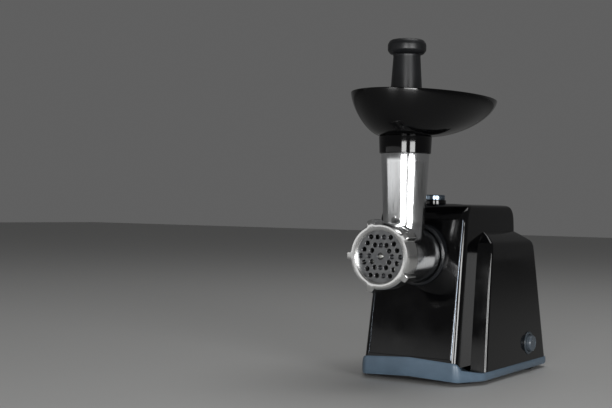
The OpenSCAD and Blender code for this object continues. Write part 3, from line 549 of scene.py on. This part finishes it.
def make_pusher():
    """One hollow moulding: a rounded knob, a tapered grip and a foot that fills the feed tube."""
    profile = [
        (0, 162), (16.2, 162, 1.0), (17.3, 234.1, 0.3), (22, 234.1, 0.8), (22, 236.3, 1.0), (17.0, 237.8, 2.0),
        (14.35, 278), (12.6, 304.9, 1.2), (12.9, 306.8, 0.8), (15.6, 307.6, 3.0), (17.9, 310.6, 3.4),
        (17.9, 316.4, 4.4), (15.6, 320.5, 5.0), (11.0, 320.9, 2.0), (9.4, 320.2, 0.8), (0, 320.0),
    ]
    obj = turned("pusher_moulding", profile, "z", (0, TUBE_Y, 0), 96, 0.6, closed=False)
    return piece(obj, "pusher", "pusher", PUSHER_GREY)


def bowl_open(t):
    """How far the bowl has opened at a share t of its height."""
    return (1 - (1 - t) ** TRAY_CURVE) ** (1 / TRAY_CURVE)


def make_tray():
    """A deep oval bowl whose floor draws in to the feed tube, with a thin rolled rim and a round collar."""
    count, levels = 128, 22
    floor_z, rim_z, foot, throat = TRAY_FLOOR_Z, TRAY_RIM_Z, TRAY_FOOT_R, 19.4

    def loop(t, inset, z):
        s = bowl_open(t)
        half_x = foot + (TRAY_HALF_X - foot) * s - inset
        half_y = foot + (TRAY_HALF_Y - foot) * s - inset
        mid = TUBE_Y + (TRAY_MIDDLE_Y - TUBE_Y) * s
        return [(half_x * math.cos(a), mid + half_y * math.sin(a), z)
                for a in (2 * math.pi * i / count for i in range(count))]

    def circle(r, z):
        return [(r * math.cos(2 * math.pi * i / count), TUBE_Y + r * math.sin(2 * math.pi * i / count), z)
                for i in range(count)]

    loops = [circle(22.7, 214.8), circle(23.6, 214.8), circle(24.0, 215.3), circle(24.65, 230.0),
             circle(24.45, 230.7)]
    loops += [circle(23.9, 231.05)]
    for k in range(1, levels + 1):
        t = (k / levels) ** 1.6
        if k == levels:
            loops.append(loop(0.985, 0.0, floor_z + 39.3))
            loops.append(loop(1.0, 0.25, rim_z - 0.25))
            loops.append(loop(1.0, 0.8, rim_z))
            loops.append(loop(1.0, 1.6, rim_z))
            loops.append(loop(1.0, 2.15, rim_z - 0.35))
        else:
            loops.append(loop(t, 0.0, floor_z + 40 * t))
    for k in range(levels - 1, 0, -1):
        t = (k / levels) ** 1.6
        loops.append(loop(t, 3.0, floor_z + 2.4 + 37.6 * t))
    loops += [circle(20.6, 233.4), circle(19.7, 233.3), circle(throat, 232.8), circle(throat, 231.2),
              circle(19.8, 230.0), circle(22.5, 230.0), circle(22.7, 229.9)]
    obj = skin("tray_bowl", loops, join=True)
    return piece(obj, "tray", "tray", TRAY_BLACK)


# ------------------------------------------------------------------ mincing head


def make_head():
    """Barrel and feed tube in one casting with a soft fillet between them, rifled bore and two ears."""
    barrel = turned("head_shell", [
        (21.3, -41.0), (21.3, -106.5), (24.5, -106.5, 0.3), (24.5, PLATE_BACK, 0.2), (26.95, PLATE_BACK, 0.1),
        (26.95, -116.5, 0.3), (27.7, -116.5, 0.3), (28.6, -115.4, 0.2), (28.6, -114.4), (27.6, -113.4),
        (28.6, -112.4), (28.6, -111.4), (27.6, -110.4), (28.6, -109.4), (28.6, -108.4), (27.6, -107.4),
        (28.6, -106.4), (28.6, -105.4, 0.3), (26.9, -103.4, 1.2), (BARREL_R, -99.0, 6.0), (BARREL_R, -29.0, 0.6),
        (9.05, -29.0, 0.3), (9.05, -41.0, 0.2),
    ], "y", (0, 0, HEAD_Z), 128, 0.2)
    count = 96
    tube = []

    def tube_loop(r, z):
        return [(r * math.cos(2 * math.pi * i / count), TUBE_Y + r * math.sin(2 * math.pi * i / count), z)
                for i in range(count)]

    def saddle(rho, lift):
        """A loop that lies on the barrel, or stands a little above it."""
        out = []
        for i in range(count):
            a = 2 * math.pi * i / count
            x = rho * math.cos(a)
            out.append((x, TUBE_Y + rho * math.sin(a), HEAD_Z + math.sqrt(BARREL_R ** 2 - x * x) + lift))
        return out

    for r, z in ((22.3, 229.8), (22.3, 216.0), (22.3, 214.4), (22.5, 213.7)):
        tube.append(tube_loop(r, z))
    for k in range(1, 9):
        tube.append(tube_loop(22.5 - 3.0 * k / 8, 213.7 - 61.4 * k / 8))
    fillet, steps = 4.2, 6
    for k in range(steps + 1):
        a = math.pi / 2 * k / steps
        tube.append(saddle(19.05 + fillet * (1 - math.cos(a)), fillet * (1 - math.sin(a)) - 0.3))
    tube.append(saddle(19.05 + fillet - 0.8, -2.5))
    tube.append([(0.72 * x, TUBE_Y + 0.72 * (y - TUBE_Y), HEAD_Z + 8) for x, y, z in tube_loop(22, 0)])
    stem = skin("feed_tube", tube, ends=(True, True))
    cut(barrel, stem, operation="UNION")
    bore = skin("tube_bore", [tube_loop(16.9, HEAD_Z + 2), tube_loop(19.2, 227.5), tube_loop(19.4, 229.0),
                              tube_loop(20.4, 230.4), tube_loop(20.6, 232)])
    cut(barrel, bore)
    edit(barrel)
    bpy.ops.mesh.select_all(action="SELECT")
    bpy.ops.mesh.remove_doubles(threshold=MM * 0.02)
    bpy.ops.mesh.select_all(action="SELECT")
    bpy.ops.mesh.fill_holes(sides=0)
    settle(barrel)
    ears = []
    for side in (1, -1):
        outline = [(28.3 * math.sin(a), side * 28.3 * math.cos(a))
                   for a in (math.asin(7 / 28.3) * (k / 6 - 1) for k in range(13))]
        outline += [(7, side * 24.6), (-7, side * 24.6)]
        ears.append(slab("ear", [(x, HEAD_Z + z) for x, z in outline], -33.3, -29.0, 0.3))
    notch = block("notch", (-2.6, -35, HEAD_Z + 25.6), (2.6, -28, HEAD_Z + 30))
    cut(ears[0], notch)
    ribs = []
    for angle in (20, 70, 110, 160, 200, 250, 290, 340):
        spin = Matrix.Translation((0, 0, HEAD_Z * MM)) @ Matrix.Rotation(math.radians(angle), 4, "Y") \
            @ Matrix.Translation((0, 0, -HEAD_Z * MM))
        ribs.append(block("rib", (-1.2, -105.5, HEAD_Z + 20.4), (1.2, -43, HEAD_Z + 21.5), 0.3, 1, spin))
    key = block("key", (-1.3, -116.2, HEAD_Z - 27.6), (1.3, -114.2, HEAD_Z - 25.4), 0.2, 1)
    obj = joined(barrel, *ears, *ribs, key)
    take(obj)
    bpy.ops.object.shade_smooth_by_angle(angle=math.radians(28))
    return piece(obj, "machine", "head_casting", TUBE_ALUMINIUM)


def make_ring():
    """A screwed ring: a faced rim, five grips that flare into the band, and a lip that holds the plate."""
    count = 720
    grips = [math.radians(180 + 72 * k) for k in range(5)]
    tip_half, flank = 4.5, 4.2

    def outline(base, tip, y, y_tip=None):
        points = []
        for i in range(count):
            a = 2 * math.pi * i / count
            off = min(abs((a - g + math.pi) % (2 * math.pi) - math.pi) for g in grips)
            t = min(1.0, max(0.0, (math.degrees(off) - tip_half) / flank))
            rise = 1 - t * t * (3 - 2 * t)
            r = base + (tip - base) * rise
            depth = y if y_tip is None else y + (y_tip - y) * rise
            points.append((r * math.cos(a), depth, HEAD_Z + r * math.sin(a)))
        return points

    def circle(r, y):
        return outline(r, r, y)

    front, back = RING_FRONT, RING_BACK
    loops = [
        circle(24.35, front + 0.1), circle(24.6, front), circle(28.5, front),
        outline(28.8, 29.6, front + 0.06, front + 0.03), outline(29.5, 33.1, front + 1.2, front + 0.4),
        outline(30.0, 33.9, front + 2.0, front + 0.9), outline(30.3, 34.25, front + 2.8, front + 1.7),
        outline(RING_BAND_R, GRIP_REACH, front + 3.6, front + 2.6), outline(RING_BAND_R, GRIP_REACH, back - 2.6),
        outline(RING_BAND_R, 34.0, back - 1.0), outline(30.2, 33.5, back - 0.35), outline(29.8, 32.8, back),
        circle(29.3, back), circle(RING_BORE_R, back - 0.4), circle(RING_BORE_R, PLATE_FRONT),
        circle(LIP_R, PLATE_FRONT),
        circle(LIP_R, front + 2.05), circle(23.7, front + 1.95), circle(23.75, front + 1.25),
        circle(23.95, front + 1.15), circle(24.05, front + 0.4),
    ]
    obj = skin("screw_ring", loops, join=True)
    return piece(obj, "ring_nut", "ring_nut", RING_ALUMINIUM)


def make_plate():
    """The hole plate: two hexagons of small holes round the middle one, each with a broken edge."""
    disc = turned("hole_plate", [(0, PLATE_FRONT), (PLATE_R, PLATE_FRONT, 0.3), (PLATE_R, PLATE_BACK, 0.3),
                                 (0, PLATE_BACK)], "y", (0, 0, HEAD_Z), 96, 0.0, closed=False)
    spots = []
    for side in range(6):
        a, b = math.radians(60 * side), math.radians(60 * side + 60)
        for share, size in ((0, 20), (1 / 3, 20), (2 / 3, 20), (0, 11.6), (0.5, 11.6)):
            spots.append((size * ((1 - share) * math.cos(a) + share * math.cos(b)),
                          size * ((1 - share) * math.sin(a) + share * math.sin(b)), PLATE_HOLE_R))
    spots.append((0, 0, 3.1))
    tools = []
    for x, z, r in spots:
        tools.append(turned("hole", [
            (0, PLATE_FRONT - 1), (r + 0.15, PLATE_FRONT - 1), (r + 0.15, PLATE_FRONT - 0.01),
            (r, PLATE_FRONT + 0.15),
            (r, PLATE_BACK + 1), (0, PLATE_BACK + 1)], "y", (x, 0, HEAD_Z + z), 28, 0.0, closed=False))
    cut(disc, joined(*tools))
    cut(disc, block("notch", (-1.6, -116.7, HEAD_Z - 28), (1.6, -112, HEAD_Z - 24.7)))
    return piece(disc, "plate", "plate", PLATE_STEEL)


def make_collar():
    """The socket's collar: a dark moulded ring with rounded lips."""
    obj = turned("socket_ring", [
        (26.4, -49, 0.9), (30, -49, 1.1), (30, -23, 0.4), (15, -23, 0.2), (15, -28.5, 0.2), (28.5, -28.5, 0.1),
        (28.5, -33.5, 0.1), (26.4, -33.5, 0.2)], "y", (0, 0, HEAD_Z), 128, 0.2)
    cut(obj, drill(2.45, HEAD_Z, 160, 0, -31.0, "z", 32))
    return piece(obj, "machine", "socket_collar", COLLAR_GREY)


# ------------------------------------------------------------------ housing


def front_at(z):
    """Depth of the leaning front at a height."""
    return FOOT_Y + (z - FOOT_Z) * SLOPE


def level(half, front, back, r_front, r_back, z, crown=0.0, steps=8):
    """A closed loop round the housing at one height, begun at the middle of the front."""
    corners = [(-half, front, r_front), (half, front, r_front), (half, back, r_back), (-half, back, r_back)]
    plan = [(0, front, 0)] + [corners[1], corners[2], (0, back, 0), corners[3], corners[0]]
    points = []
    for x, y in soften(plan, 0, steps, closed=True):
        points.append((x, y, z + crown * (1 - (x / max(half, 1e-6)) ** 2)))
    return points


def make_housing():
    """The narrow upright housing: leaning front, softly crowned top and rounded corners."""
    loops = []
    for z in (17, 30, 60, 90, 120, 142, 148):
        loops.append(level(49 - (z - 17) * 0.02, front_at(z), 90 - (z - 17) * 0.032, 6.5, 8, z))
    corner = [
        (151.0, 46.25, 0.0, 0.1), (154.0, 46.2, 0.35, 0.35), (156.8, 46.1, 1.2, 0.8), (159.3, 46.0, 2.4, 1.5),
        (161.5, 45.8, 3.9, 2.4), (163.3, 45.5, 5.6, 3.4), (164.9, 45.1, 7.7, 4.6), (166.2, 44.5, 10.0, 6.0),
        (167.2, 43.6, 12.5, 7.6), (167.9, 42.4, 15.2, 9.4), (168.3, 40.8, 18.2, 11.6), (168.5, 38.4, 21.5, 14.5),
    ]
    for z, half, draw_front, draw_back in corner:
        crown = 0.25 * (z - 151) / 17
        loops.append(level(half, front_at(150.5) + draw_front, 85.9 - draw_back, 6.5, 8, z, crown))
    loops.append(level(30, -18, 60, 6, 8, 168.7, 0.4))
    loops.append(level(12, 5, 38, 4, 5, 168.9, 0.25))
    body = skin("upright_housing", loops, ends=(False, True))
    finish_with(body, "SOLIDIFY", thickness=HOUSING_WALL * MM, offset=-1.0)
    panel = block("recess", (-43.75, -1.8, 2.6), (43.75, 2.2, 134.7), 0.0, 1,
                  Matrix.Translation((0, FOOT_Y * MM, FOOT_Z * MM)) @ Matrix.Rotation(-LEAN, 4, "X"))
    cut(body, panel)
    cut(body, drill(SOCKET_HOLE_R, -80, -20))
    cut(body, drill(9.05, 150, 175, 0, RELEASE_Y, "z", 64))
    cut(body, drill(11.45, 168.0, 175, 0, RELEASE_Y, "z", 96))
    cut(body, block("opening", (-70, 57, 0), (70, 120, 136)))
    even_shading(body)
    return piece(body, "machine", "main_housing", GLOSS_BLACK)


def leaned(name, low, high, radius, steps=3):
    """A box that leans back with the front panel."""
    place = Matrix.Translation((0, FOOT_Y * MM, FOOT_Z * MM)) @ Matrix.Rotation(-LEAN, 4, "X")
    return block(name, low, high, radius, steps, place)


def make_fascia():
    """A flat polished panel let into the front."""
    obj = leaned("front_panel", (-42.55, 0, 2.95), (42.55, 1.9, 134.4), 0.35)
    cut(obj, drill(SOCKET_HOLE_R, -80, -20))
    even_shading(obj)
    return piece(obj, "machine", "front_fascia", GLOSS_BLACK)


def make_trim():
    """The plated line down each side of the panel."""
    lean = Matrix.Translation((0, FOOT_Y * MM, FOOT_Z * MM)) @ Matrix.Rotation(-LEAN, 4, "X")
    bars = []
    for side in (1, -1):
        section = [(42.7, 1.9), (42.7, -0.05, 0.1), (43.1, -0.15, 0.3), (43.65, 0.45, 0.5), (43.65, 1.9)]
        outline = soften([(side * p[0],) + p[1:] for p in section], 0, 4)
        bar = slab("side_trim", outline, 2.95, 134.4, 0.0, "xy")
        bar.data.transform(lean)
        bars.append(bar)
    return piece(joined(*bars), "machine", "fascia_trim", TRIM_CHROME)


def make_shell():
    """The rear cover: a thin wall round the sides and the back, with a soft shoulder in front and on top."""

    def wall(half, front, back, z):
        core = 49 - (z - 17) * 0.02 + 0.03
        shoulder = 6 * (half - core) / (half - 40)
        w = min(COVER_WALL, half - 46.55, back - 86.02)
        lip = front - shoulder
        half_in, front_in, back_in = half - w, front + w, back - w
        corners = [
            (-core, lip, 0), (-half, front, 3), (-half, back, 10), (0, back, 0), (half, back, 10),
            (half, front, 3), (core, lip, 0), (core, lip + w * 1.1, 0), (half_in, front_in, 1.5),
            (half_in, back_in, 8), (0, back_in, 0), (-half_in, back_in, 8), (-half_in, front_in, 1.5),
            (-core, lip + w * 1.1, 0),
        ]
        return [(x, y, z) for x, y in soften(corners, 0, 8, closed=True)]

    rows = []
    for z, draw in ((COVER_FOOT_Z, 0), (12, 0), (30, 0), (53, 0), (80, 0), (105, 0), (122, 0), (127.5, 0.15),
                    (130.3, 0.65), (132.3, 1.6), (133.8, 2.9)):
        share = (z - COVER_FOOT_Z) / COVER_RISE
        rows.append(wall(64.1 - 3.6 * share - draw, -24.8 + 18.2 * share ** 1.15 + draw * 0.8,
                         134.6 - 29.0 * share - draw, z))
    for half, front, back, z in ((52.5, 0.4, 92.2, 138.6), (47.6, 2.4, 87.1, 141.9), (46.75, 3.0, 86.2, 142.3)):
        rows.append(wall(half, front, back, z))
    body = skin("rear_cover", rows)
    cut(body, drill(9.42, 50, 75, POWER_Y, POWER_Z, "x", 64))
    cut(body, drill(5.5, 115, 140, -35, 25, "y", 48))
    even_shading(body)
    return piece(body, "machine", "rear_shell", GLOSS_BLACK)


def skirt_plan(inset, steps=6):
    """Outline of the skirt, drawn in by an inset."""
    k = inset * 0.4
    corners = [
        (0, -61 + inset, 0), (49.5 - k, -61 + inset, 9), (65.2 - inset, -31 + k, 16),
        (65.2 - inset, 135 - inset, 10), (0, 135 - inset, 0), (-65.2 + inset, 135 - inset, 10),
        (-65.2 + inset, -31 + k, 16), (-49.5 + k, -61 + inset, 9),
    ]
    return soften(corners, 0, steps, closed=True)


def skirt_top(x, y):
    """Height of the skirt's top edge: arched across the front, swept down round the corner."""
    front = 21.4 + 2.6 * max(0.0, 1 - (x / 47) ** 2)
    t = min(1.0, max(0.0, (y + 60.8) / 8.0))
    return front + (11.3 - front) * (t * t * (3 - 2 * t))


def skirt_foot(x, y):
    """Height of its lower edge: a low arch across the front."""
    t = min(1.0, max(0.0, (y + 61) / 14))
    return 3.7 + 2.3 * max(0.0, 1 - (x / 50) ** 2) * (1 - t)


def make_plinth():
    """The blue-grey skirt: a band that bulges a little, tucks under at the bottom and sweeps down the sides."""
    bands = [
        (2.0, 0.0, 0.0), (1.0, 0.0, 0.0), (0.45, 0.10, 0.0), (0.12, 0.28, 0.0), (0.0, 0.50, 0.0), (0.1, 0.80, 0.0),
        (0.35, 0.93, 0.0), (0.8, 0.99, 0.0), (1.4, 1.0, 0.0), (4.2, 1.0, -0.3),
    ]
    loops = []
    for inset, share, drop in bands:
        loop = []
        for (x, y), (ox, oy) in zip(skirt_plan(inset), skirt_plan(0.0)):
            low, high = skirt_foot(ox, oy), skirt_top(ox, oy)
            loop.append((x, y, low + (high - low) * share + drop))
        loops.append(loop)
    for inset, share in ((4.2, 0.86), (2.4, 0.80), (2.4, 0.1)):
        loop = []
        for (x, y), (ox, oy) in zip(skirt_plan(inset), skirt_plan(0.0)):
            low, high = skirt_foot(ox, oy), skirt_top(ox, oy)
            loop.append((x, y, low + (high - low) * share))
        loops.append(loop)
    band = skin("skirt", loops, join=True)
    shelf = []
    for inset, drop in ((2.2, 0.35), (19.5, 0.35), (19.5, 2.2), (2.2, 2.2)):
        loop = []
        for (x, y), (ox, oy) in zip(skirt_plan(inset), skirt_plan(0.0)):
            loop.append((x, y, skirt_top(ox, oy) - drop))
        shelf.append(loop)
    ledge = skin("shelf", shelf, join=True)
    cut(ledge, block("keep", (-80, -80, 0), (80, -5, 60)), operation="INTERSECT")
    obj = joined(band, ledge)
    take(obj)
    bpy.ops.object.shade_smooth_by_angle(angle=math.radians(36))
    return piece(obj, "machine", "base_plinth", BLUE_GREY)


def make_feet():
    """Four rubber feet with a rounded tread and a shallow hollow."""
    feet = []
    for x, y in ((41, -27), (-41, -27), (52, 100), (-52, 100)):
        feet.append(turned("foot", [
            (0, 0.8), (5.0, 0.8, 0.5), (5.6, 0, 0.4), (7.2, 0, 0.8), (8, 1.2, 1.0), (8, 4.5, 0.3), (3, 4.5, 0.2),
            (3, 7.1, 0.4), (0, 7.1)], "z", (x, y, 0), 48, 0.0, closed=False))
    return piece(joined(*feet), "machine", "feet", RUBBER)


# ------------------------------------------------------------------ buttons and gland


def make_release():
    """A round dished cap on a slim stem."""
    obj = turned("release_cap", [
        (0, 155.5), (1.6, 155.5, 0.2), (1.6, 172.5, 0.1), (10.0, 172.5, 0.3),
        (10.3, 172.9, 0.2), (10.3, 176.7, 0.8),
        (9.7, 177.4, 0.5), (8.9, 177.4, 0.5), (8.0, 177.0, 1.5), (0, 176.7)], "z", (0, RELEASE_Y, 0), 96, 0.2,
        closed=False)
    piece(obj, "release_button", "release_button", CAP_METAL)
    rim = turned("release_rim", [
        (2.3, 163), (9, 163, 0.3), (9, 168), (11.4, 168, 0.1), (11.4, 172.4, 0.35), (10.7, 172.4, 0.25),
        (10.7, 169.4, 0.2), (7.6, 169.4, 0.3), (7.6, 164.8, 0.3), (2.3, 164.8)], "z", (0, RELEASE_Y, 0), 96, 0.1)
    piece(rim, "machine", "button_bezel", GLOSS_BLACK)


def make_power():
    """The power button on the side: a domed cap in a blue-grey ring."""
    cap = turned("power_cap", [
        (0, 58), (8.2, 58, 0.3), (8.2, 67.6, 1.0), (7.3, 69.0, 0.9),
        (5.8, 69.2, 0.5), (5.2, 68.6, 0.8), (0, 68.3)],
        "x", (0, POWER_Y, POWER_Z), 72, 0.2, closed=False)
    piece(cap, "power_button", "power_button", BUTTON_GREY)
    rim = turned("power_rim", [
        (8.5, 54), (9.4, 54, 0.2), (9.4, 62.8), (11.5, 62.8, 0.1), (11.5, 64.3, 0.6), (10.6, 65.0, 0.6),
        (9.1, 65.0, 0.5), (8.5, 64.3, 0.4)], "x", (0, POWER_Y, POWER_Z), 72, 0.1)
    piece(rim, "machine", "power_bezel", RIM_GREY)


def make_gland():
    """The cord inlet: a moulded bushing with a rolled lip."""
    obj = turned("cord_inlet", [
        (3.5, 122, 0.3), (5.5, 122, 0.4), (5.5, 131.2, 0.3), (8, 131.2, 0.4), (8, 133.8, 0.9), (7.0, 134.8, 0.8),
        (4.4, 134.8, 0.9), (3.5, 133.6, 0.6)], "y", (-35, 0, 25), 48, 0.2)
    return piece(obj, "machine", "cord_gland", RUBBER)


make_pusher()
make_tray()
make_head()
make_ring()
make_plate()
make_collar()
make_housing()
make_fascia()
make_trim()
make_shell()
make_plinth()
make_feet()
make_release()
make_power()
make_gland()


# ------------------------------------------------------------------ studio


# Turn, reach and height of each light, its width and height, and its power
LAMPS = [
    ("left_strip", 21, 1.55, 0.24, 0.52, 0.5, 13),
    ("right_strip", 57, 1.55, 0.24, 0.6, 0.5, 15),
    ("low_card", -28, 1.6, 0.19, 2.5, 0.28, 2.0),
    ("top_panel", 150, 0.4, 2.1, 1.3, 1.3, 15),
]
CAMERA_PLACE = (494.6, -1028.1, 164.54)
CAMERA_TURN = (32.30, 0.09, 1.03)
CAMERA_LENS = 67.58
CAMERA_SENSOR = 36


def studio():
    """A plain pale floor, an even grey surround, two strips in front, a low card and a soft light above."""
    rest()
    bpy.ops.mesh.primitive_plane_add(size=1)
    floor = named("studio_floor")
    floor.scale = (12, 12, 1)
    bpy.ops.object.transform_apply(location=True, rotation=True, scale=True)
    material, tree, shader, place = finish("studio_sweep_paint", "#b9b9b8", 0.55)
    floor.data.materials.append(material)
    world = bpy.data.worlds.new("studio_world")
    world.use_nodes = True
    world.node_tree.nodes["Background"].inputs["Color"].default_value = paint("#a5a5a5")
    world.node_tree.nodes["Background"].inputs["Strength"].default_value = 0.42
    bpy.context.scene.world = world
    bpy.context.scene.view_settings.view_transform = "Standard"
    bpy.context.scene.view_settings.gamma = 0.85
    for name, turn, reach, height, wide, tall, power in LAMPS:
        data = bpy.data.lights.new(name, "AREA")
        data.shape = "RECTANGLE"
        data.size, data.size_y, data.energy = wide, tall, power
        lamp = bpy.data.objects.new(name, data)
        bpy.context.scene.collection.objects.link(lamp)
        lamp.location = (reach * math.sin(math.radians(turn)), -reach * math.cos(math.radians(turn)), height)
        aim = Vector((0, 0, 0.15)) if name == "top_panel" else Vector((0, 0, height))
        lamp.rotation_euler = (aim - lamp.location).to_track_quat("-Z", "Y").to_euler()


def camera():
    """A long lens a little over a metre away, to the right of the front, level with the barrel."""
    yaw, pitch, roll = (math.radians(angle) for angle in CAMERA_TURN)
    ahead = Vector((-math.sin(yaw) * math.cos(pitch), math.cos(yaw) * math.cos(pitch), math.sin(pitch)))
    side = ahead.cross(Vector((0, 0, 1))).normalized()
    up = side.cross(ahead)
    right = math.cos(roll) * side + math.sin(roll) * up
    top = -math.sin(roll) * side + math.cos(roll) * up
    data = bpy.data.cameras.new("studio_camera")
    data.lens, data.sensor_width, data.clip_start = CAMERA_LENS, CAMERA_SENSOR, 0.01
    cam = bpy.data.objects.new("studio_camera", data)
    bpy.context.scene.collection.objects.link(cam)
    turn = Matrix((right, top, -ahead)).transposed().to_4x4()
    cam.matrix_world = Matrix.Translation(Vector(CAMERA_PLACE) * MM) @ turn
    bpy.context.scene.camera = cam


studio()
camera()
rest()
